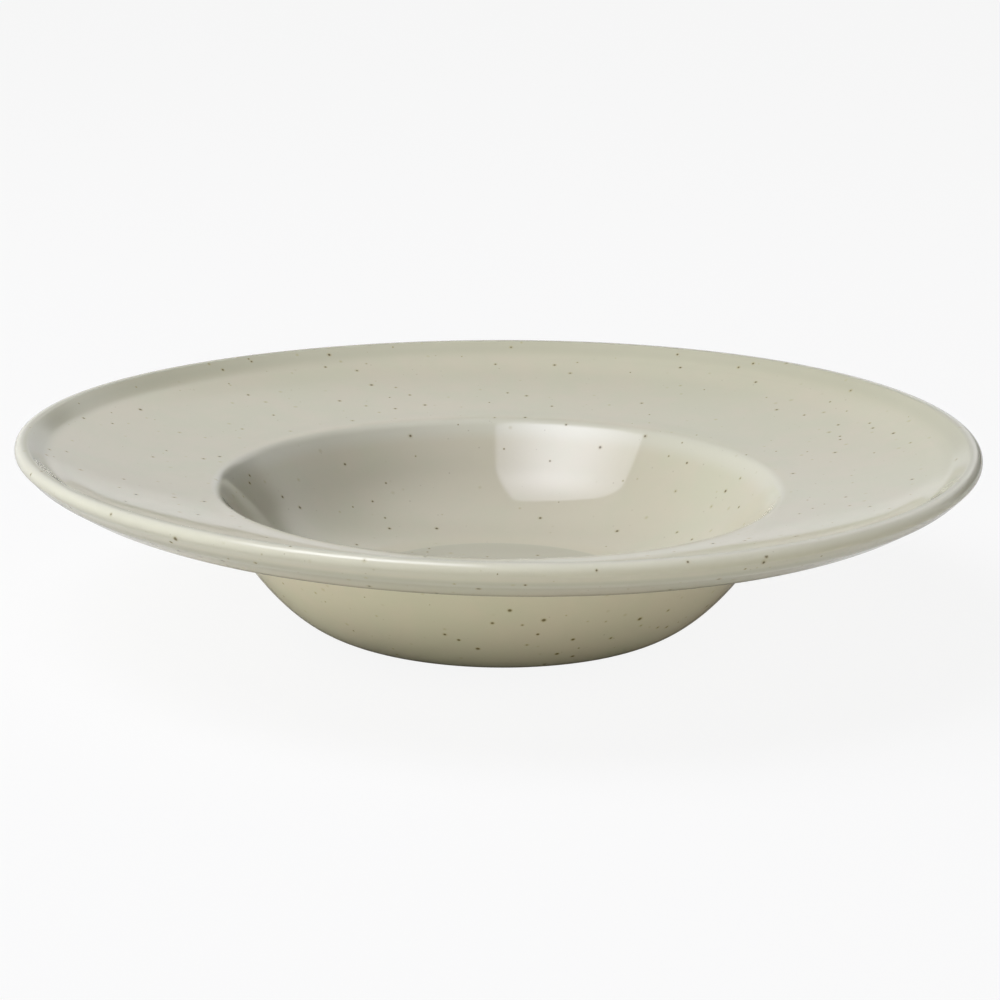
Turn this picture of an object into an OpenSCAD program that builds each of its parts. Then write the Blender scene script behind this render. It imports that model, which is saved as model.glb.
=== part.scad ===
// Deep plate in speckled stoneware, with a wide flange, a deep well and a turned foot ring.
// Every piece is turned about +Z. The plate stands on z = 0, and all lengths are millimetres.
// Outlines are half sections: x is the distance from the axis, y is the height above the table.

/* [Plate] */
// Outside diameter of the finished plate
plate_d = 280; // [260:5:310]
// Height of the lip's crest above the table
plate_h = 57; // [54:0.5:62]

/* [Flange] */
// Rise of the flange towards the lip, in degrees
flange_slope = 12; // [10:0.5:14]
// Thickness of the flange, square to its face
flange_t = 7.2; // [6.4:0.1:8]

/* [Lip] */
// Width of the band that turns up at the edge
lip_band_w = 9.2; // [8.4:0.1:10]
// Rise of the crest above the foot of the upturn
lip_rise = 4.2; // [3.4:0.1:5]
// Radius of the hollow where the flange turns up
upturn_r = 7; // [4:0.5:10]
// Width of the lip's top
lip_top_w = 3.7; // [3.4:0.1:4.4]
// Radius of the lip's inner edge
lip_inner_r = 1.6; // [1:0.1:2]
// Radius of the lip's outer edge
lip_outer_r = 2.2; // [1.6:0.1:2.4]
// Drop from the crest to the nose, the widest line of the lip
nose_drop = 3; // [2.8:0.1:3.4]
// Radius of the nose
nose_r = 1.6; // [1:0.1:1.8]

/* [Rim underside] */
// Inset of the shoulder, where the outer face leans in under the lip
shoulder_in = 3.8; // [3.4:0.1:4.6]
// Drop from the crest to the shoulder
shoulder_drop = 6.9; // [6.4:0.1:7.4]
// Radius of the shoulder
shoulder_r = 12; // [6:1:14]
// Inset of the heel, where the outer face meets the underside of the flange
heel_in = 13.1; // [12.4:0.1:14]
// Radius of the heel
heel_r = 24; // [12:1:28]

/* [Well] */
// Diameter of the well at its edge
well_d = 164; // [156:1:170]
// Radius of the well's edge
well_edge_r = 5; // [3:0.5:7]
// Height of the well's floor above the table
floor_z = 13; // [12:0.5:14]
// Diameter of the flat floor
floor_d = 76; // [66:1:84]
// Slope of the well's wall below its edge, in degrees
well_wall_angle = 52; // [50:0.5:54]

/* [Bowl] */
// How far outside the well's edge the bowl meets the flange
bowl_lead = 1; // [0:0.5:3]
// Radius of the hollow where the bowl meets the flange
crease_r = 8; // [4:0.5:10]
// Slope of the bowl's wall under the flange, in degrees
bowl_wall_angle = 57; // [55:0.5:59]
// Length of the straight wall under the flange
bowl_wall_l = 10; // [8:0.5:12]
// How strongly the wall's slope carries on into the curve, as a share of the curve's span
bowl_pull_share = 0.244; // [0.17:0.01:0.31]
// How strongly the level underside carries on into the curve, as a share of the curve's span
heel_pull_share = 0.324; // [0.26:0.01:0.39]

/* [Foot] */
// Outside diameter of the foot ring
foot_d = 90; // [84:1:94]
// Height of the foot ring's outer face
foot_step = 1.2; // [1:0.1:1.6]
// Length of the level underside beside the foot ring
foot_margin = 1.5; // [1:0.1:2.5]
// Width of the foot ring
foot_w = 5; // [4:0.5:6]
// Radius of the foot ring's edges
foot_edge_r = 0.6; // [0.3:0.1:0.7]
// Depth of the recess inside the foot ring
recess_depth = 5.5; // [4.5:0.1:6.5]
// Radius of the recess's corner
recess_r = 4; // [2:0.2:4.4]
// Height of bare clay left above the table inside the foot ring
bare_h = 1; // [0.8:0.1:1.2]

/* [Glaze] */
// Thickness of the glaze
glaze_t = 0.5; // [0.3:0.05:0.7]

/* [Hidden] */

// Roundness of a full turn, fewest steps round a corner, and steps along the bowl's curve
$fn = 180;
corner_steps = 8;
curve_steps = 32;
// Length of one step round a wide corner
step_l = 1.2;
// Most of an edge that the rounding at its two ends may take
edge_share = 0.96;

// Half sizes
plate_r = plate_d / 2;
well_r = well_d / 2;
floor_r = floor_d / 2;
bowl_r = well_r + bowl_lead;
foot_r = foot_d / 2;
foot_inner_r = foot_r - foot_w;

// Heights of the flange's upper face and underside at a distance from the axis
upturn_x = plate_r - lip_band_w;
upturn_y = plate_h - lip_rise;
flange_drop = flange_t / cos(flange_slope);
function flange_top(x) = upturn_y - (upturn_x - x) * tan(flange_slope);
function flange_under(x) = flange_top(x) - flange_drop;

// Corners of the face, from the axis out to the nose
function flare(rise, angle) = rise / tan(angle);
well_depth = flange_top(well_r) - floor_z;
floor_corner = [well_r - flare(well_depth, well_wall_angle), floor_z];
well_edge = [well_r, flange_top(well_r)];
upturn = [upturn_x, upturn_y];
lip_inner = [plate_r - lip_top_w, plate_h];
lip_outer = [plate_r, plate_h];
nose = [plate_r, plate_h - nose_drop];

// The floor's hollow starts where the flat floor ends
floor_hollow_r = (floor_corner.x - floor_r) / tan(well_wall_angle / 2);

// Corners of the back, from the nose in to the foot ring
shoulder = [plate_r - shoulder_in, plate_h - shoulder_drop];
heel = [plate_r - heel_in, flange_under(plate_r - heel_in)];
crease = [bowl_r, flange_under(bowl_r)];
down_bowl = [-cos(bowl_wall_angle), -sin(bowl_wall_angle)];
bowl_start = crease + bowl_wall_l * down_bowl;
bowl_end = [foot_r + foot_margin, foot_step];
bowl_span = norm(bowl_start - bowl_end);
foot_top = [foot_r, foot_step];

// Vector helpers
function unit(v) = v / norm(v);
function turned(v, angle) = [
    v.x * cos(angle) - v.y * sin(angle),
    v.x * sin(angle) + v.y * cos(angle)
];
function reversed(path) = [for (i = [len(path) - 1:-1:0]) path[i]];

// Points of the arc that rounds corner b of the path a, b, c
function arc_at(a, b, c, r) = let (
    u = unit(a - b),
    v = unit(c - b),
    half = acos(u * v) / 2,
    lead = r / tan(half),
    centre = b + unit(u + v) * r / sin(half),
    start = b + u * lead - centre,
    sweep = 180 - 2 * half,
    side = sign(cross(start, v * lead + b - centre)),
    steps = max(corner_steps, ceil(r * sweep * PI / 180 / step_l))
) [for (i = [0:steps]) centre + turned(start, side * sweep * i / steps)];

// Length that rounding corner b takes of each edge beside it
function lead_at(a, b, c, r) = r / tan(acos(unit(a - b) * unit(c - b)) / 2);

// A path with its inner corners rounded, each by its own radius or the widest that its edges hold
function rounded(corners, radii) = let (
    last = len(corners) - 1,
    inner = [1:last - 1],
    leads = [0, for (i = inner) lead_at(corners[i - 1], corners[i], corners[i + 1], radii[i - 1]), 0],
    fits = [
        for (i = [0:last - 1])
            min(1, edge_share * norm(corners[i + 1] - corners[i]) / (leads[i] + leads[i + 1]))
    ]
) [
    corners[0],
    for (i = inner)
        each arc_at(corners[i - 1], corners[i], corners[i + 1], radii[i - 1] * min(fits[i - 1], fits[i])),
    corners[last]
];

// Points of a smooth curve that leaves a towards b and reaches d from c, without its two ends
function swept(a, b, c, d) = [
    for (i = [1:curve_steps - 1])
        let (t = i / curve_steps, s = 1 - t)
            s * s * s * a + 3 * s * s * t * b + 3 * s * t * t * c + t * t * t * d
];

// The normal on a path's right, and the path moved to its right by a gap
function right_of(a, b) = let (d = unit(b - a)) [d.y, -d.x];
function beside(path, gap) = let (last = len(path) - 1) [
    for (i = [0:last]) let (
        before = right_of(path[max(i - 1, 0)], path[max(i, 1)]),
        after = right_of(path[min(i, last - 1)], path[min(i + 1, last)])
    ) path[i] + gap * (before + after) / (1 + before * after)
];

// The finished surface: floor, well, flange and lip, then the back down to the foot ring
face_path = rounded(
    [[0, floor_z], floor_corner, well_edge, upturn, lip_inner, lip_outer, nose,
        shoulder, heel, crease, bowl_start],
    [floor_hollow_r, well_edge_r, upturn_r, lip_inner_r, lip_outer_r, nose_r,
        shoulder_r, heel_r, crease_r]
);
bowl_path = swept(
    bowl_start,
    bowl_start + bowl_pull_share * bowl_span * down_bowl,
    bowl_end + [heel_pull_share * bowl_span, 0],
    bowl_end
);
glazed_path = concat(face_path, bowl_path, [bowl_end, foot_top]);

// The finished surface of the recess inside the foot ring, from the axis out and down to the bare clay
recess_path = rounded(
    [[0, recess_depth], [foot_inner_r - glaze_t, recess_depth], [foot_inner_r - glaze_t, bare_h]],
    [recess_r]
);

// The clay lies one glaze thickness below each finished surface
clay_path = beside(glazed_path, glaze_t);
clay_recess_path = beside(recess_path, -glaze_t);

// The bare foot ring, from the end of the outer glaze round to the start of the inner glaze
foot_path = rounded(
    [clay_path[len(clay_path) - 1], [foot_r, 0], [foot_inner_r, 0], [foot_inner_r, bare_h]],
    [foot_edge_r, foot_edge_r]
);

// Fired clay: well, flange, lip and foot ring in one piece
module stoneware_body() {
    color([0.80, 0.74, 0.64])
        rotate_extrude()
            polygon(concat(clay_path, foot_path, reversed(clay_recess_path)));
}

// One coat of glaze over the face, the lip and the back
module glaze_coat() {
    color([0.79, 0.78, 0.72])
        rotate_extrude()
            polygon(concat(glazed_path, reversed(clay_path)));
}

// The glaze inside the foot ring
module foot_recess_glaze() {
    color([0.74, 0.73, 0.66])
        rotate_extrude()
            polygon(concat(recess_path, reversed(clay_recess_path)));
}

stoneware_body();
glaze_coat();
foot_recess_glaze();
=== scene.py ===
# %% [markdown]
# A deep plate in speckled stoneware
#
# The plate is turned from stoneware clay, dipped in a glossy grey glaze and fired. Three pieces
# make it: the glaze over face and back, the same glaze in the recess under it, and the clay, which
# shows only at the foot ring. The frame gives each of them as a solid in metres, with the table at
# z = 0 and the axis of the turning along +Z.

# %% Load the frame
import math

import bmesh
import bpy
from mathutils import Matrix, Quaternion, Vector


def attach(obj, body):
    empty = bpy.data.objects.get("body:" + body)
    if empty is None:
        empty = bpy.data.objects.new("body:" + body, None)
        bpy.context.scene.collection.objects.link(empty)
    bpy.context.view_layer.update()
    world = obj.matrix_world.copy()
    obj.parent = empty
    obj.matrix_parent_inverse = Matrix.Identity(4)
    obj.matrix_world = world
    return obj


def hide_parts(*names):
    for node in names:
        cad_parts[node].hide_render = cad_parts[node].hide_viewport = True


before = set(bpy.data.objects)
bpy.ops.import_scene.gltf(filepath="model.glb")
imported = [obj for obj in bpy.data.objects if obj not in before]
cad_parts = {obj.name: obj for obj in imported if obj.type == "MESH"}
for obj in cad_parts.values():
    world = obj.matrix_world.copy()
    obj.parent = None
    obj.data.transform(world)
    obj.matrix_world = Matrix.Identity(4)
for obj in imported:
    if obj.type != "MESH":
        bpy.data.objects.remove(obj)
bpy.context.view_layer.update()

MM = 0.001


# %% [markdown]
# The camera
#
# The camera comes early, so that every test render can be laid over the photograph. Its place was
# found by fitting the plate's outlines: about a metre away, looking down by about 14 degrees. It was
# held very slightly askew, so it is rolled by the same small angle about its own axis.

# %% Camera
PLATE_LOOK_AT = Vector((0.00054, 0.0, 0.0374))
CAMERA_AT = Vector((0.00054, -0.9679, 0.2868))
CAMERA_ROLL = math.radians(0.68)
LENS_MM = 122.8

camera_data = bpy.data.cameras.new("plate_camera")
camera_data.sensor_fit = "HORIZONTAL"
camera_data.lens = LENS_MM
camera = bpy.data.objects.new("plate_camera", camera_data)
bpy.context.scene.collection.objects.link(camera)
level_view = (PLATE_LOOK_AT - CAMERA_AT).to_track_quat("-Z", "Y")
roll = Quaternion((0, 0, 1), CAMERA_ROLL)
camera.matrix_world = (level_view @ roll).to_matrix().to_4x4()
camera.location = CAMERA_AT
bpy.context.scene.camera = camera
print("Camera to plate:", round((PLATE_LOOK_AT - CAMERA_AT).length / MM), "mm")

# %% [markdown]
# The turned pieces
#
# A plate is a solid of revolution, so one half outline holds its whole shape. The CAD meshes are
# loose triangles with flat facets, which a glossy glaze would show as bands of light. Each CAD
# piece is therefore copied, merged and cut by two planes: the first goes through the axis and keeps
# only the section itself, and the second keeps one half of that. The half outline is spun again in
# finer steps below, which keeps the CAD's sizes and gives faces small enough for smooth shading.

# %% Cut a half outline from a CAD piece
MERGE = 0.002 * MM
ON_PLANE = 0.004 * MM
CENTRE = (0, 0, 0)
CAD_PIECES = ("glaze_coat", "foot_recess_glaze", "stoneware_body")


def half_outline(node):
    outline = bmesh.new()
    outline.from_mesh(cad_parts[node].data)
    bmesh.ops.remove_doubles(outline, verts=outline.verts, dist=MERGE)
    bmesh.ops.bisect_plane(
        outline,
        geom=outline.verts[:] + outline.edges[:] + outline.faces[:],
        dist=ON_PLANE,
        plane_co=CENTRE,
        plane_no=(0, 1, 0),
        clear_inner=True,
        clear_outer=True,
    )
    bmesh.ops.bisect_plane(
        outline,
        geom=outline.verts[:] + outline.edges[:],
        dist=ON_PLANE,
        plane_co=CENTRE,
        plane_no=(1, 0, 0),
        clear_inner=True,
    )
    return outline


outlines = {node: half_outline(node) for node in CAD_PIECES}
for node, outline in outlines.items():
    print(node, "outline:", len(outline.verts), "points")

# %% [markdown]
# Smooth shading blends the direction of the surface across each face. On a long straight run, such
# as the flange, it would bend the light over the whole run, so each long edge is divided into equal
# parts of a few millimetres at most. Shorter parts would make the meshes heavy and look the same.

# %% Divide the long edges
LONGEST_EDGE = 3.5 * MM


def divide_long_edges(outline):
    by_cuts = {}
    for edge in outline.edges:
        cuts = math.ceil(edge.calc_length() / LONGEST_EDGE) - 1
        if cuts > 0:
            by_cuts.setdefault(cuts, []).append(edge)
    for cuts, edges in by_cuts.items():
        bmesh.ops.subdivide_edges(outline, edges=edges, cuts=cuts)


for node, outline in outlines.items():
    divide_long_edges(outline)
    print(node, "outline:", len(outline.edges), "edges after dividing")

# %% [markdown]
# Stoneware moves in the kiln: the wide rim of a real plate is never quite flat. The photograph's
# rim rises and falls by about a millimetre round the plate, so the spun pieces are all bent by the
# same gentle saddle, which starts at the wall of the well and is strongest at the lip. The flange's
# face is also dished by up to 1.6 mm between the well and the lip. That is too little to change
# the plate's outline, but glossy surfaces show such a curve in their shading. A sloping line
# through the middle of the flange tells its face from its underside, which stays straight. All
# the pieces move together, so the clay stays inside its glaze.

# %% How the kiln bends the plate
WARP_FROM = 60 * MM
WARP_OVER = 80 * MM
WARP_RISE = 1.5
WARP_WAVES = 2
WARP_ALONG = -0.49 * MM
WARP_ACROSS = -0.88 * MM
DISH_DEPTH = 1.6 * MM
DISH_FROM = 81 * MM
DISH_TO = 133 * MM
DISH_EASE = 0.2
# Makes the highest value of the dish's curve 1
DISH_TIMES = 2.6
# Height of the flange's middle line at the axis, its slope, and the height that the dish fades over
MIDDLE_FROM = 21.3 * MM
MIDDLE_RISE = 0.2126
MIDDLE_OVER = 2.4 * MM
HALF_WAY = 0.5


def clamped(share):
    return min(max(share, 0), 1)


def eased(share):
    share = clamped(share)
    return share * share * (3 - 2 * share)


def flange_dish(away, height):
    middle = MIDDLE_FROM + MIDDLE_RISE * away
    on_face = eased((height - middle) / MIDDLE_OVER + HALF_WAY)
    across = clamped((away - DISH_FROM) / (DISH_TO - DISH_FROM))
    ends = eased(across / DISH_EASE) * eased((1 - across) / DISH_EASE)
    return -DISH_DEPTH * DISH_TIMES * across * (1 - across * across) * ends * on_face


def rim_saddle(away, turn):
    waves = WARP_ALONG * math.cos(WARP_WAVES * turn) + WARP_ACROSS * math.sin(WARP_WAVES * turn)
    return clamped((away - WARP_FROM) / WARP_OVER) ** WARP_RISE * waves


def kiln_warp(piece_mesh):
    for vert in piece_mesh.verts:
        away = math.hypot(vert.co.x, vert.co.y)
        turn = math.atan2(vert.co.x, -vert.co.y)
        vert.co.z += flange_dish(away, vert.co.z) + rim_saddle(away, turn)


print("The lip rises and falls by", round(math.hypot(WARP_ALONG, WARP_ACROSS) / MM, 1), "mm")

# %% [markdown]
# Each outline is now spun once round the axis. Its last copy meets its first, and the points on the
# axis meet each other, so both are merged, or the mesh would be open there. Spin doesn't promise
# which way the faces point, so they are turned outwards after that. The piece is then attached to
# the body that it moves with, and the CAD piece that it stands for is hidden.

# %% Spin the outlines into pieces
TURN_STEPS = 256


def spun_piece(name, node):
    outline = outlines[node]
    bmesh.ops.spin(
        outline,
        geom=outline.verts[:] + outline.edges[:],
        cent=CENTRE,
        axis=(0, 0, 1),
        angle=math.tau,
        steps=TURN_STEPS,
        use_merge=True,
    )
    bmesh.ops.remove_doubles(outline, verts=outline.verts, dist=MERGE)
    kiln_warp(outline)
    bmesh.ops.recalc_face_normals(outline, faces=outline.faces)
    for face in outline.faces:
        face.smooth = True
    open_edges = sum(not edge.is_manifold for edge in outline.edges)
    mesh = bpy.data.meshes.new(name)
    outline.to_mesh(mesh)
    outline.free()
    triangles = sum(len(polygon.vertices) - 2 for polygon in mesh.polygons)
    print(name, "has", triangles, "triangles and", open_edges, "open edges")
    piece = bpy.data.objects.new(name, mesh)
    bpy.context.scene.collection.objects.link(piece)
    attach(piece, "root")
    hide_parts(node)
    return piece


glaze = spun_piece("glaze_skin", "glaze_coat")
recess = spun_piece("recess_glaze_skin", "foot_recess_glaze")
clay = spun_piece("clay_body", "stoneware_body")

# %% [markdown]
# The glaze
#
# The glaze is a thin coat of coloured glass over the clay. Its grey is not one grey: it drifts
# between a greener and a pinker cast over a few centimetres, and it turns paler where it runs thin
# over the lip and the edge of the well, a paler colour that is partly painted highlight. Painted
# shade darkens the hollow of the upturn, and a painted dark reflection the floor of the well. Iron
# grains in the clay melt up through it as brown specks, each with a small olive ring. All of it is
# worked out in 3D from the piece's own coordinates, so the specks sit in the glaze from every side
# and need no unwrapping.
#
# A few helpers keep the node trees readable. One feeds a socket with a number, a colour or another
# node's output. The others add a sum, a smooth ramp between two limits, or a mix of two colours.

# %% Helpers for a finish
# The Mix node has sockets for numbers, vectors and colours, and these are the ones for colours
MIX_COLOURS = (6, 7)
MIXED_COLOUR = 2


def add_node(tree, kind, **settings):
    node = tree.nodes.new(kind)
    for setting, value in settings.items():
        setattr(node, setting, value)
    return node


def feed(tree, socket, value):
    if isinstance(value, bpy.types.NodeSocket):
        tree.links.new(value, socket)
    elif socket.type == "RGBA":
        socket.default_value = (*value, 1)
    else:
        socket.default_value = value


def maths(tree, operation, first, second=0.0, third=0.0):
    node = add_node(tree, "ShaderNodeMath", operation=operation)
    for socket, value in zip(node.inputs, (first, second, third)):
        feed(tree, socket, value)
    return node.outputs["Value"]


def ramp(tree, value, low, high, at_low=0.0, at_high=1.0):
    node = add_node(tree, "ShaderNodeMapRange", interpolation_type="SMOOTHSTEP")
    names = ("Value", "From Min", "From Max", "To Min", "To Max")
    for name, amount in zip(names, (value, low, high, at_low, at_high)):
        feed(tree, node.inputs[name], amount)
    return node.outputs["Result"]


def tinted(tree, amount, below, above):
    node = add_node(tree, "ShaderNodeMix", data_type="RGBA")
    feed(tree, node.inputs["Factor"], amount)
    for at, colour in zip(MIX_COLOURS, (below, above)):
        feed(tree, node.inputs[at], colour)
    return node.outputs[MIXED_COLOUR]


# %% [markdown]
# The body colour of the glaze comes first. Two sizes of cloud mix its greener and its pinker cast.
# The wide cloud counts for more, because the coat changes its thickness over a few centimetres.

# %% Colour of the glaze
GREEN_CAST = (0.548, 0.538, 0.402)
PINK_CAST = (0.572, 0.538, 0.412)
WIDE_CLOUD = 45 * MM
SMALL_CLOUD = 9 * MM
WIDE_SHARE = 0.6
CAST_TURNS = (0.38, 0.62)


def new_finish(name):
    material = bpy.data.materials.new(name)
    material.use_nodes = True
    tree = material.node_tree
    place = add_node(tree, "ShaderNodeTexCoord").outputs["Object"]
    return material, tree, place, tree.nodes["Principled BSDF"]


def clouds(tree, place, grain, detail=2.0):
    node = add_node(tree, "ShaderNodeTexNoise")
    for name, value in (("Vector", place), ("Scale", 1 / grain), ("Detail", detail)):
        feed(tree, node.inputs[name], value)
    return node.outputs["Fac"]


glaze_finish, glaze_tree, glaze_place, glaze_shader = new_finish("speckled_glaze")
wide_clouds = clouds(glaze_tree, glaze_place, WIDE_CLOUD)
small_clouds = clouds(glaze_tree, glaze_place, SMALL_CLOUD, detail=3.0)
cast = maths(glaze_tree, "ADD", maths(glaze_tree, "MULTIPLY", wide_clouds, WIDE_SHARE),
             maths(glaze_tree, "MULTIPLY", small_clouds, 1 - WIDE_SHARE))
body_colour = tinted(glaze_tree, ramp(glaze_tree, cast, *CAST_TURNS), GREEN_CAST, PINK_CAST)
print("Glaze drifts between", GREEN_CAST, "and", PINK_CAST)

# %% [markdown]
# Molten glaze runs off edges, so it is thin and pale over the edge of the well and the outside of
# the lip; there the paler colour also stands in for part of the highlights, as painted highlight.
# The hollow where the flange turns up is darkened with painted shade, and the well's flat floor with
# a painted dark reflection. Each of these places is a ring, so two measures find it: the distance
# from the axis and the height above the table. A ring gives four distances, where it starts, is
# full, starts to fade and ends, and two heights that it fades in between, all in millimetres. A ring
# that starts below zero is full at the axis.

# %% Thin glaze, and painted highlight, shade and reflection
# Paler colour: glaze thin over edges, and partly painted highlight
THIN_GLAZE_AND_PAINTED_HIGHLIGHT = (0.608, 0.602, 0.494)
# Painted shade in the hollow where the flange turns up
PAINTED_SHADE_IN_HOLLOW = (0.458, 0.450, 0.340)
# Painted dark reflection on the well's flat floor
PAINTED_FLOOR_REFLECTION = (0.495, 0.482, 0.376)
RINGS_OF_GLAZE_AND_PAINTED_LIGHT = {
    "edge of the well": ((77.0, 80.5, 82.0, 84.5), (30.0, 37.0), 0.8, THIN_GLAZE_AND_PAINTED_HIGHLIGHT),
    "hollow of the upturn": ((128.5, 134.0, 137.0, 138.6), (47.0, 51.0), 1.0, PAINTED_SHADE_IN_HOLLOW),
    "floor of the well": ((-2.0, -1.0, 40.8, 41.6), (11.5, 12.0), 1.0, PAINTED_FLOOR_REFLECTION),
    "outside of the lip": ((136.7, 138.7, 150.0, 160.0), (51.0, 55.5), 1.0, THIN_GLAZE_AND_PAINTED_HIGHLIGHT),
}
WITHOUT_HEIGHT = (1, 1, 0)


def axes_of(tree, vector):
    node = add_node(tree, "ShaderNodeSeparateXYZ")
    feed(tree, node.inputs["Vector"], vector)
    return node.outputs


def vector_maths(tree, operation, output, first, second=CENTRE):
    node = add_node(tree, "ShaderNodeVectorMath", operation=operation)
    for socket, value in zip(node.inputs, (first, second)):
        feed(tree, socket, value)
    return node.outputs[output]


def band(tree, value, start, full, fading, end):
    starts = ramp(tree, value, start, full)
    return maths(tree, "MULTIPLY", starts, ramp(tree, value, fading, end, 1.0, 0.0))


above_table = axes_of(glaze_tree, glaze_place)["Z"]
flat_place = vector_maths(glaze_tree, "MULTIPLY", "Vector", glaze_place, WITHOUT_HEIGHT)
from_axis = vector_maths(glaze_tree, "LENGTH", "Value", flat_place)
# Each ring mixes its colour in: thin glaze with painted highlight, painted shade, and a painted
# reflection
for distances, heights, most, colour in RINGS_OF_GLAZE_AND_PAINTED_LIGHT.values():
    ring = band(glaze_tree, from_axis, *(at * MM for at in distances))
    high_enough = ramp(glaze_tree, above_table, *(at * MM for at in heights))
    ring = maths(glaze_tree, "MULTIPLY", ring, high_enough)
    ring = maths(glaze_tree, "MULTIPLY", ring, most)
    body_colour = tinted(glaze_tree, ring, body_colour, colour)
print("Rings of thin glaze and painted light:", ", ".join(RINGS_OF_GLAZE_AND_PAINTED_LIGHT))

# %% [markdown]
# A Voronoi texture holds one random point in each of its cells. A ball round each point, cut by the
# surface of the plate, shows as a round speck, and because the cut passes some balls near their
# middle and others near their edge, the specks differ in size by themselves. The cell's own random
# colour makes some balls larger than others and leaves some out.

# %% Specks
SMALLEST_SPECK = 0.35


def specks(tree, place, spacing, size, chance, edge):
    cells = add_node(tree, "ShaderNodeTexVoronoi", feature="F1")
    feed(tree, cells.inputs["Vector"], place)
    feed(tree, cells.inputs["Scale"], 1 / spacing)
    draw = add_node(tree, "ShaderNodeSeparateColor")
    feed(tree, draw.inputs["Color"], cells.outputs["Color"])
    kept = maths(tree, "LESS_THAN", draw.outputs["Green"], chance)
    smallest = SMALLEST_SPECK * size / spacing
    reach = maths(tree, "MULTIPLY_ADD", draw.outputs["Red"], size / spacing, smallest)
    core = maths(tree, "MULTIPLY", reach, edge)
    spot = ramp(tree, cells.outputs["Distance"], core, reach, 1.0, 0.0)
    return maths(tree, "MULTIPLY", spot, kept)


# %% [markdown]
# Three kinds of spots go over the body colour: olive rings, the dark iron cores inside them, and a
# fine pepper that is only a little darker than the glaze. A core and its ring read the same cells,
# so each core sits in the middle of its own ring. More rings and cores, larger ones, show on the
# back and on the outside of the rim, where the coat is thinner.

# %% Iron specks in the glaze
SPECK_SPACING = 4.6 * MM
SPECK_SIZE = 0.46 * MM
SPECK_CHANCE = 0.66
RING_SIZE = 0.95 * MM
RING_EDGE = 0.2
RING_SHARE = 0.42
CORE_EDGE = 0.45
CORE_SHARE = 0.92
PEPPER_SPACING = 3.0 * MM
PEPPER_SIZE = 0.28 * MM
PEPPER_CHANCE = 0.50
PEPPER_EDGE = 0.5
PEPPER_SHARE = 0.5
BACK_SPACING = 4.4 * MM
BACK_SIZE = 0.60 * MM
BACK_RING = 0.98 * MM
BACK_CHANCE = 0.6
BACK_RING_SHARE = 0.58
BACK_CORE_SHARE = 0.78
# A normal lower than the first height is wholly on the back, and above the second not at all
BACK_FACES = (0.30, 0.55)
OLIVE = (0.33, 0.285, 0.09)
IRON = (0.085, 0.060, 0.026)
PEPPER = (0.33, 0.29, 0.20)


def spots(spacing, size, chance, edge, most):
    spread = specks(glaze_tree, glaze_place, spacing, size, chance, edge)
    return maths(glaze_tree, "MULTIPLY", spread, most)


def with_back(face_spots, back_spots):
    back_spots = maths(glaze_tree, "MULTIPLY", back_spots, on_back)
    return maths(glaze_tree, "MAXIMUM", face_spots, back_spots)


facing_up = axes_of(glaze_tree, glaze_place.node.outputs["Normal"])["Z"]
on_back = ramp(glaze_tree, facing_up, *BACK_FACES, 1.0, 0.0)
face_rings = spots(SPECK_SPACING, RING_SIZE, SPECK_CHANCE, RING_EDGE, RING_SHARE)
face_cores = spots(SPECK_SPACING, SPECK_SIZE, SPECK_CHANCE, CORE_EDGE, CORE_SHARE)
back_rings = spots(BACK_SPACING, BACK_RING, BACK_CHANCE, RING_EDGE, BACK_RING_SHARE)
back_cores = spots(BACK_SPACING, BACK_SIZE, BACK_CHANCE, CORE_EDGE, BACK_CORE_SHARE)
ring_spots = with_back(face_rings, back_rings)
core_spots = with_back(face_cores, back_cores)
pepper_spots = spots(PEPPER_SPACING, PEPPER_SIZE, PEPPER_CHANCE, PEPPER_EDGE, PEPPER_SHARE)
glaze_colour = tinted(glaze_tree, pepper_spots, body_colour, PEPPER)
glaze_colour = tinted(glaze_tree, ring_spots, glaze_colour, OLIVE)
glaze_colour = tinted(glaze_tree, core_spots, glaze_colour, IRON)
feed(glaze_tree, glaze_shader.inputs["Base Color"], glaze_colour)
print("Specks: one cell every", round(SPECK_SPACING / MM, 1), "mm, and on the back",
      "larger ones every", round(BACK_SPACING / MM, 1), "mm too")

# %% [markdown]
# The glaze flows almost level in the kiln, so its gloss is sharp, with a very slight orange peel
# and a small sunken pit over each iron core. The cores are a little less glossy than the glaze.

# %% Gloss and surface of the glaze
PEEL_GRAIN = 5 * MM
PEEL_DEPTH = 0.006 * MM
PIT_SHARE = 0.6
GLOSS = 0.055
SPECK_GLOSS = 0.22
GLAZE_IOR = 1.5


def add_bump(tree, surface, depth, shader):
    bump = add_node(tree, "ShaderNodeBump")
    for name, value in (("Strength", 1.0), ("Distance", depth), ("Height", surface)):
        feed(tree, bump.inputs[name], value)
    feed(tree, shader.inputs["Normal"], bump.outputs["Normal"])


peel = clouds(glaze_tree, glaze_place, PEEL_GRAIN)
pits = maths(glaze_tree, "MULTIPLY", core_spots, PIT_SHARE)
add_bump(glaze_tree, maths(glaze_tree, "SUBTRACT", peel, pits), PEEL_DEPTH, glaze_shader)
gloss = ramp(glaze_tree, core_spots, 0.0, 1.0, GLOSS, SPECK_GLOSS)
feed(glaze_tree, glaze_shader.inputs["Roughness"], gloss)
feed(glaze_tree, glaze_shader.inputs["IOR"], GLAZE_IOR)
for piece in (glaze, recess):
    piece.data.materials.append(glaze_finish)
print("Roughness of the glaze:", GLOSS, "and over a core:", SPECK_GLOSS)

# %% [markdown]
# The bare clay
#
# Only the ring that the plate stands on is left without glaze, because glaze there would weld the
# plate to the kiln shelf. Fired stoneware is matt and sandy, warmer and browner than the glaze, with
# darker grains in it, and it is rough enough to feel. Clouds toast the clay, the same balls that
# make the specks make its grains, and a fine cloud makes the sand.

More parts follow.
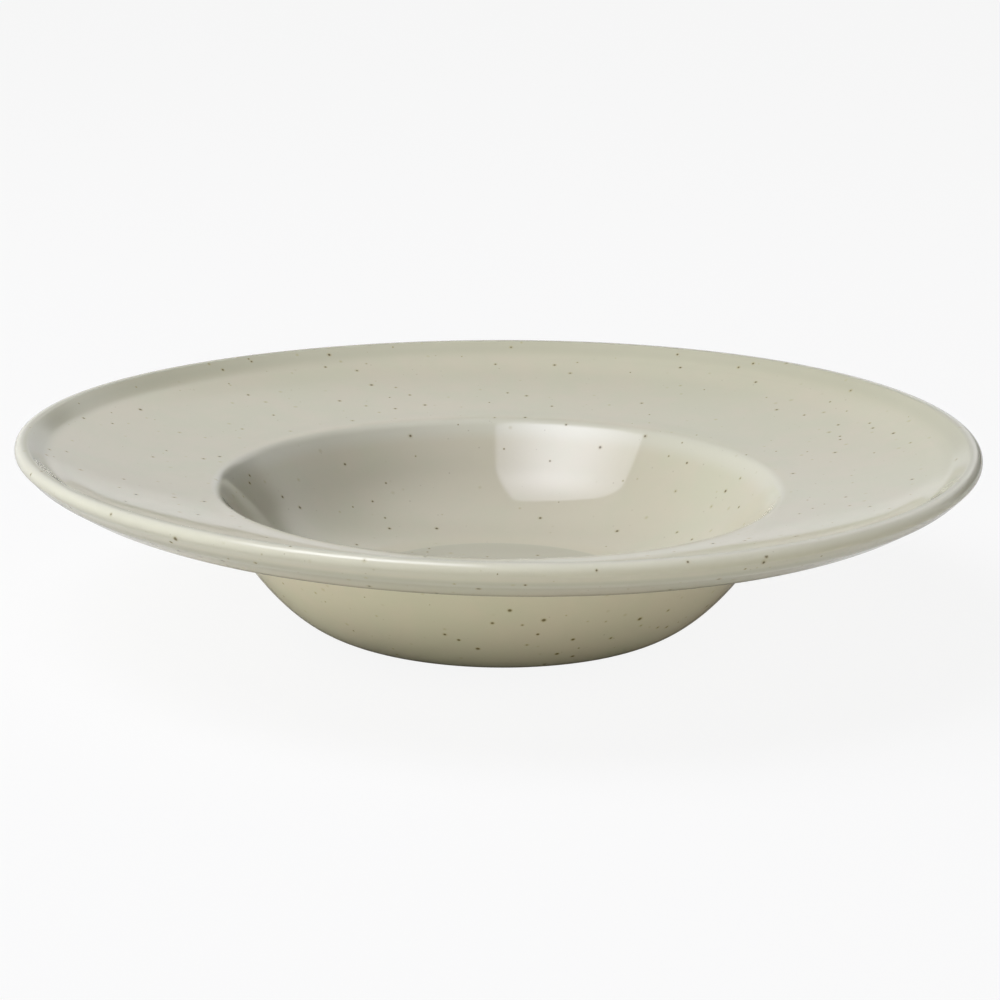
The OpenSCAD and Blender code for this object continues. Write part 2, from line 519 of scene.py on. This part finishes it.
# %% Bare clay
CLAY_DARK = (0.33, 0.25, 0.16)
CLAY_PALE = (0.50, 0.41, 0.29)
CLAY_CLOUD = 12 * MM
CLAY_TURNS = (0.35, 0.65)
CLAY_ROUGH = (0.78, 0.92)
GRIT = (0.17, 0.12, 0.075)
GRIT_SPACING = 1.1 * MM
GRIT_SIZE = 0.30 * MM
GRIT_CHANCE = 0.7
GRIT_EDGE = 0.5
GRIT_SHARE = 0.6
SAND_GRAIN = 0.5 * MM
SAND_DEPTH = 0.05 * MM

clay_finish, clay_tree, clay_place, clay_shader = new_finish("bare_stoneware")
toast = clouds(clay_tree, clay_place, CLAY_CLOUD, detail=4.0)
clay_colour = tinted(clay_tree, ramp(clay_tree, toast, *CLAY_TURNS), CLAY_DARK, CLAY_PALE)
grit = specks(clay_tree, clay_place, GRIT_SPACING, GRIT_SIZE, GRIT_CHANCE, GRIT_EDGE)
clay_colour = tinted(clay_tree, maths(clay_tree, "MULTIPLY", grit, GRIT_SHARE), clay_colour, GRIT)
feed(clay_tree, clay_shader.inputs["Base Color"], clay_colour)
sand = clouds(clay_tree, clay_place, SAND_GRAIN, detail=3.0)
add_bump(clay_tree, sand, SAND_DEPTH, clay_shader)
clay_roughness = ramp(clay_tree, toast, *CLAY_TURNS, *CLAY_ROUGH)
feed(clay_tree, clay_shader.inputs["Roughness"], clay_roughness)
clay.data.materials.append(clay_finish)
print("Clay drifts between", CLAY_DARK, "and", CLAY_PALE)

# %% [markdown]
# The table and the light
#
# The plate was photographed on a white table in a white studio, both so bright that they show as
# plain white. Light Path tells a material what kind of ray is asking. For the camera, and for rays
# that come off a glossy or clear surface, table and surroundings are white, or nearly so. For the
# rays that carry their light to the plate they have strengths of their own, so the background's
# white adds nothing to the object.

# %% Helpers for the stage
def seen_rays(tree):
    rays = add_node(tree, "ShaderNodeLightPath").outputs
    mirrored = maths(tree, "MAXIMUM", rays["Is Glossy Ray"], rays["Is Transmission Ray"])
    return maths(tree, "MAXIMUM", rays["Is Camera Ray"], mirrored), rays["Is Camera Ray"]


def emptied(finish):
    finish.use_nodes = True
    finish.node_tree.nodes.clear()
    return finish.node_tree


def staged(name, shape, finish):
    mesh = bpy.data.meshes.new(name)
    shape.to_mesh(mesh)
    shape.free()
    mesh.materials.append(finish)
    thing = bpy.data.objects.new(name, mesh)
    bpy.context.scene.collection.objects.link(thing)
    print(name, "is part of the stage")
    return thing


# %% [markdown]
# The plate stands in its own shade. Only the table round it gets light, and some of that bounces up
# under the rim from a ring of table and lights the bowl from below, warmed a little by the plate. It
# is stronger on the left, where the room is brighter, with a patch more on each side of the plate.

# %% Light that bounces off the table
SHADE_UNDER_PLATE = 0.071
SHADE_ENDS = 0.115
BOUNCE_LEFT = 1.0
BOUNCE_RIGHT = 0.38
BOUNCE_FADES = 0.118
BOUNCE_GONE = 0.155
BOUNCE_TINT = (1.0, 0.955, 0.93)
PATCH_LEFT = 0.62
PATCH_RIGHT = 0.32
PATCH_FROM = 0.5
PATCH_REACH = (0.045, 0.075, 0.095, 0.125)

table_finish = bpy.data.materials.new("white_table")
table_tree = emptied(table_finish)
table_place = add_node(table_tree, "ShaderNodeTexCoord").outputs["Object"]
from_plate = vector_maths(table_tree, "LENGTH", "Value", table_place)
open_table = ramp(table_tree, from_plate, SHADE_UNDER_PLATE, SHADE_ENDS)
outward = vector_maths(table_tree, "NORMALIZE", "Vector", table_place)
to_right = axes_of(table_tree, outward)["X"]

ring_bounce = ramp(table_tree, to_right, -1.0, 1.0, BOUNCE_LEFT, BOUNCE_RIGHT)
ring_bounce = maths(table_tree, "MULTIPLY", ring_bounce, open_table)
ring_ends = ramp(table_tree, from_plate, BOUNCE_FADES, BOUNCE_GONE, 1.0, 0.0)
ring_bounce = maths(table_tree, "MULTIPLY", ring_bounce, ring_ends)

at_sides = ramp(table_tree, maths(table_tree, "ABSOLUTE", to_right), PATCH_FROM, 1.0)
patches = maths(table_tree, "MULTIPLY", at_sides, band(table_tree, from_plate, *PATCH_REACH))
patch_strength = ramp(table_tree, to_right, -1.0, 1.0, PATCH_LEFT, PATCH_RIGHT)
patches = maths(table_tree, "MULTIPLY", patches, patch_strength)
bounce = maths(table_tree, "ADD", ring_bounce, patches)
print("Light bounces up to", round(BOUNCE_GONE / MM), "mm from the axis")

# %% [markdown]
# The table is a white surface that is mixed with a white glow. The glow keeps it white for the
# camera, and the part that is left to the surface holds the plate's soft shadow. Under the plate
# the glow fades out for every ray but the camera's, which darkens the bowl towards the foot. The
# plate mirrors the table near it a little darker, as the table's own shade is.

# %% Table
TABLE_HALF = 4.0
TABLE_LIGHTNESS = 0.6
TABLE_GLOW_SHARE = 0.9
# Painted shade: the table's own colour under the plate, for every ray but the camera's
DARK_UNDER_PLATE = 0.3
MIRRORED_NEAR = 0.25
MIRRORED_FAR = 1.0
MIRRORED_TABLE = (0.68, 0.76)

table_seen, table_camera = seen_rays(table_tree)
shaded = maths(table_tree, "MAXIMUM", table_camera, open_table)
glow_share = maths(table_tree, "MULTIPLY", table_seen, shaded)
glow_share = maths(table_tree, "MULTIPLY", glow_share, TABLE_GLOW_SHARE)
cloth = add_node(table_tree, "ShaderNodeBsdfDiffuse")
lightness = ramp(table_tree, shaded, 0.0, 1.0, DARK_UNDER_PLATE, TABLE_LIGHTNESS)
feed(table_tree, cloth.inputs["Color"], lightness)
bounced = add_node(table_tree, "ShaderNodeEmission")
feed(table_tree, bounced.inputs["Color"], BOUNCE_TINT)
unseen = maths(table_tree, "SUBTRACT", 1.0, table_seen)
feed(table_tree, bounced.inputs["Strength"], maths(table_tree, "MULTIPLY", bounce, unseen))
lit_cloth = add_node(table_tree, "ShaderNodeAddShader")
feed(table_tree, lit_cloth.inputs[0], cloth.outputs["BSDF"])
feed(table_tree, lit_cloth.inputs[1], bounced.outputs["Emission"])

table_white = add_node(table_tree, "ShaderNodeEmission")
mirrored_table = ramp(table_tree, from_plate, MIRRORED_NEAR, MIRRORED_FAR, *MIRRORED_TABLE)
white_strength = maths(table_tree, "MAXIMUM", table_camera, mirrored_table)
feed(table_tree, table_white.inputs["Strength"], white_strength)
table_mix = add_node(table_tree, "ShaderNodeMixShader")
feed(table_tree, table_mix.inputs["Fac"], glow_share)
feed(table_tree, table_mix.inputs[1], lit_cloth.outputs["Shader"])
feed(table_tree, table_mix.inputs[2], table_white.outputs["Emission"])
table_out = add_node(table_tree, "ShaderNodeOutputMaterial")
feed(table_tree, table_out.inputs["Surface"], table_mix.outputs["Shader"])

table_shape = bmesh.new()
bmesh.ops.create_grid(table_shape, x_segments=1, y_segments=1, size=TABLE_HALF)
staged("white_table", table_shape, table_finish)
print("The table reaches", TABLE_HALF, "m to each side")

# %% [markdown]
# The surroundings are plain white for the camera. The light that they give comes mostly from the
# left, as in a room with large windows on one side, and from a low, slightly warm band in front, a
# little to the right, which lights the outside of the rim.

# %% Light of the surroundings
ROOM_LEFT = 1.15
ROOM_LOW = 7.8
LOW_BAND = 0.18
LOW_TOWARDS = (0.38, -0.925, 0.0)
LOW_TINT = (1.0, 0.94, 0.76)
WHITE = (1, 1, 1)

room = bpy.data.worlds.new("white_studio")
bpy.context.scene.world = room
room_tree = emptied(room)
room_place = add_node(room_tree, "ShaderNodeTexCoord").outputs["Generated"]
towards = axes_of(room_tree, room_place)
from_left = maths(room_tree, "MULTIPLY", towards["X"], -ROOM_LEFT)
from_left = maths(room_tree, "MAXIMUM", from_left, 0.0)
in_front = vector_maths(room_tree, "DOT_PRODUCT", "Value", room_place, LOW_TOWARDS)
in_front = maths(room_tree, "MAXIMUM", in_front, 0.0)
off_level = maths(room_tree, "ABSOLUTE", towards["Z"])
low_band = ramp(room_tree, off_level, 0.0, LOW_BAND, ROOM_LOW, 0.0)
low_light = maths(room_tree, "MULTIPLY", in_front, low_band)
light_of_room = add_node(room_tree, "ShaderNodeBackground")
feed(room_tree, light_of_room.inputs["Strength"], maths(room_tree, "ADD", from_left, low_light))
near_level = ramp(room_tree, off_level, 0.0, LOW_BAND, 1.0, 0.0)
feed(room_tree, light_of_room.inputs["Color"], tinted(room_tree, near_level, WHITE, LOW_TINT))
print("The low band ends", round(math.degrees(math.asin(LOW_BAND))), "degrees from level")

# %% [markdown]
# A glossy glaze shows what it mirrors. For glossy and clear rays the surroundings are white walls
# that turn greyer overhead and white again at the top. The walls on the left are greyer above their
# low part, and low on the right there is a darker gap, which the left wall of the well mirrors.

# %% What the glaze mirrors of the surroundings
MIRRORED_TIMES = 1.2
MIRRORED_BY_HEIGHT = [
    (0.0, 0.64), (0.25, 0.80), (0.5, 0.82), (0.68, 0.38), (0.8, 0.42), (0.92, 0.8),
]
WALLS_TURN = (-0.12, 0.20)
WALLS_LEFT = 0.66
WALLS_RIGHT = 1.06
LOW_WALLS_END = (0.10, 0.35)
GAP_ACROSS = (0.15, 0.35, 0.65, 0.85)
GAP_TOP = (0.25, 0.50)
GAP_KEEPS = 0.15

by_height = add_node(room_tree, "ShaderNodeValToRGB")
feed(room_tree, by_height.inputs["Fac"], towards["Z"])
stops = by_height.color_ramp.elements
while len(stops) < len(MIRRORED_BY_HEIGHT):
    stops.new(1.0)
for stop, (at, grey) in zip(stops, MIRRORED_BY_HEIGHT):
    stop.position = at
    stop.color = (grey, grey, grey, 1)
gap = band(room_tree, towards["X"], *GAP_ACROSS)
gap = maths(room_tree, "MULTIPLY", gap, ramp(room_tree, towards["Z"], *GAP_TOP, 1.0, 0.0))
beside_gap = ramp(room_tree, gap, 0.0, 1.0, MIRRORED_TIMES, MIRRORED_TIMES * GAP_KEEPS)
by_side = ramp(room_tree, towards["X"], *WALLS_TURN, WALLS_LEFT, WALLS_RIGHT)
low_walls = ramp(room_tree, towards["Z"], *LOW_WALLS_END, 1.0, 0.0)
by_side = maths(room_tree, "MAXIMUM", by_side, low_walls)
mirrored_room = maths(room_tree, "MULTIPLY", beside_gap, by_side)
mirrored_room = maths(room_tree, "MULTIPLY", by_height.outputs["Color"], mirrored_room)
print("Mirrored walls:", len(stops), "greys from level to the top")

# %% [markdown]
# The two are joined as on the table: rays that see the background get the white or the mirrored
# walls, and all the others get the light.

# %% Surroundings for every kind of ray
room_seen, room_camera = seen_rays(room_tree)
backdrop = add_node(room_tree, "ShaderNodeBackground")
feed(room_tree, backdrop.inputs["Color"], WHITE)
backdrop_strength = maths(room_tree, "MAXIMUM", mirrored_room, room_camera)
feed(room_tree, backdrop.inputs["Strength"], backdrop_strength)
room_mix = add_node(room_tree, "ShaderNodeMixShader")
feed(room_tree, room_mix.inputs["Fac"], room_seen)
feed(room_tree, room_mix.inputs[1], light_of_room.outputs["Background"])
feed(room_tree, room_mix.inputs[2], backdrop.outputs["Background"])
room_out = add_node(room_tree, "ShaderNodeOutputWorld")
feed(room_tree, room_out.inputs["Surface"], room_mix.outputs["Shader"])
print("Surroundings:", bpy.context.scene.world.name)

# %% [markdown]
# The glaze in the well mirrors one softbox with cut corners, so its place and outline are known:
# they follow from the reflection's outline and the slope of the well. It hangs above the plate,
# a little to the left. Its cloth is brightest over the bulb, its corners are round and its light is
# a little cool.

# %% Softbox
SOFTBOX_AT = Vector((-0.366, -0.131, 1.286))
SOFTBOX_RIGHT = Vector((0.96, 0.0, 0.28)).normalized()
SOFTBOX_BACK = Vector((-0.03, 0.99, 0.1)).normalized()
SOFTBOX_CORNERS = [
    (0.40, -0.50), (0.30, 0.32), (-0.21, 0.33), (-0.42, 0.24), (-0.63, 0.04), (-0.55, -0.50),
]
SOFTBOX_ROUNDING = 0.05
ROUNDING_STEPS = 4
SOFTBOX_STRENGTH = 4.0
SOFTBOX_TINT = (0.98, 0.985, 1.10)
BULB_RIGHT = -0.08
BULB_BACK = -0.2
BULB_REACH = 0.62
BULB_TIMES = 1.95
RIM_TIMES = 0.72

softbox_finish = bpy.data.materials.new("softbox_cloth")
softbox_tree = emptied(softbox_finish)
softbox_glow = add_node(softbox_tree, "ShaderNodeEmission")
feed(softbox_tree, softbox_glow.inputs["Color"], SOFTBOX_TINT)
softbox_place = add_node(softbox_tree, "ShaderNodeTexCoord").outputs["Object"]
bulb_at = SOFTBOX_AT + SOFTBOX_RIGHT * BULB_RIGHT + SOFTBOX_BACK * BULB_BACK
from_bulb = vector_maths(softbox_tree, "DISTANCE", "Value", softbox_place, bulb_at)
glow = ramp(softbox_tree, from_bulb, 0.0, BULB_REACH,
            SOFTBOX_STRENGTH * BULB_TIMES, SOFTBOX_STRENGTH * RIM_TIMES)
feed(softbox_tree, softbox_glow.inputs["Strength"], glow)
softbox_out = add_node(softbox_tree, "ShaderNodeOutputMaterial")
feed(softbox_tree, softbox_out.inputs["Surface"], softbox_glow.outputs["Emission"])

softbox_shape = bmesh.new()
softbox_shape.faces.new([
    softbox_shape.verts.new(SOFTBOX_AT + SOFTBOX_RIGHT * x + SOFTBOX_BACK * y)
    for x, y in SOFTBOX_CORNERS
])
bmesh.ops.bevel(
    softbox_shape,
    geom=softbox_shape.verts[:],
    offset=SOFTBOX_ROUNDING,
    segments=ROUNDING_STEPS,
    profile=0.5,
    affect="VERTICES",
    material=-1,
)
softbox = staged("softbox", softbox_shape, softbox_finish)
softbox.visible_camera = False

# %% [markdown]
# A second lamp, high on the left, lights the plate from the side of the windows. It is too soft to
# show in the glaze, so it is hidden from glossy rays.

# %% Left lamp
LEFT_LAMP_AT = Vector((-0.872, 0.0, 1.221))
LEFT_LAMP_SIZE = 0.7
LEFT_LAMP_WATTS = 9.3

left_light = bpy.data.lights.new("left_lamp", "AREA")
left_light.size = LEFT_LAMP_SIZE
left_light.energy = LEFT_LAMP_WATTS
left_lamp = bpy.data.objects.new("left_lamp", left_light)
bpy.context.scene.collection.objects.link(left_lamp)
left_lamp.location = LEFT_LAMP_AT
to_plate = PLATE_LOOK_AT - LEFT_LAMP_AT
left_lamp.rotation_euler = to_plate.to_track_quat("-Z", "Y").to_euler()
left_lamp.visible_glossy = False
print("Left lamp:", LEFT_LAMP_WATTS, "W,", round(to_plate.length / MM), "mm from the plate")

# %% [markdown]
# Blender's default view softens bright colours, as film does. Standard shows a colour about as it
# is written, so the numbers of the glaze can be compared with the photograph's.

# %% View
bpy.context.scene.view_settings.view_transform = "Standard"
print("View:", bpy.context.scene.view_settings.view_transform)
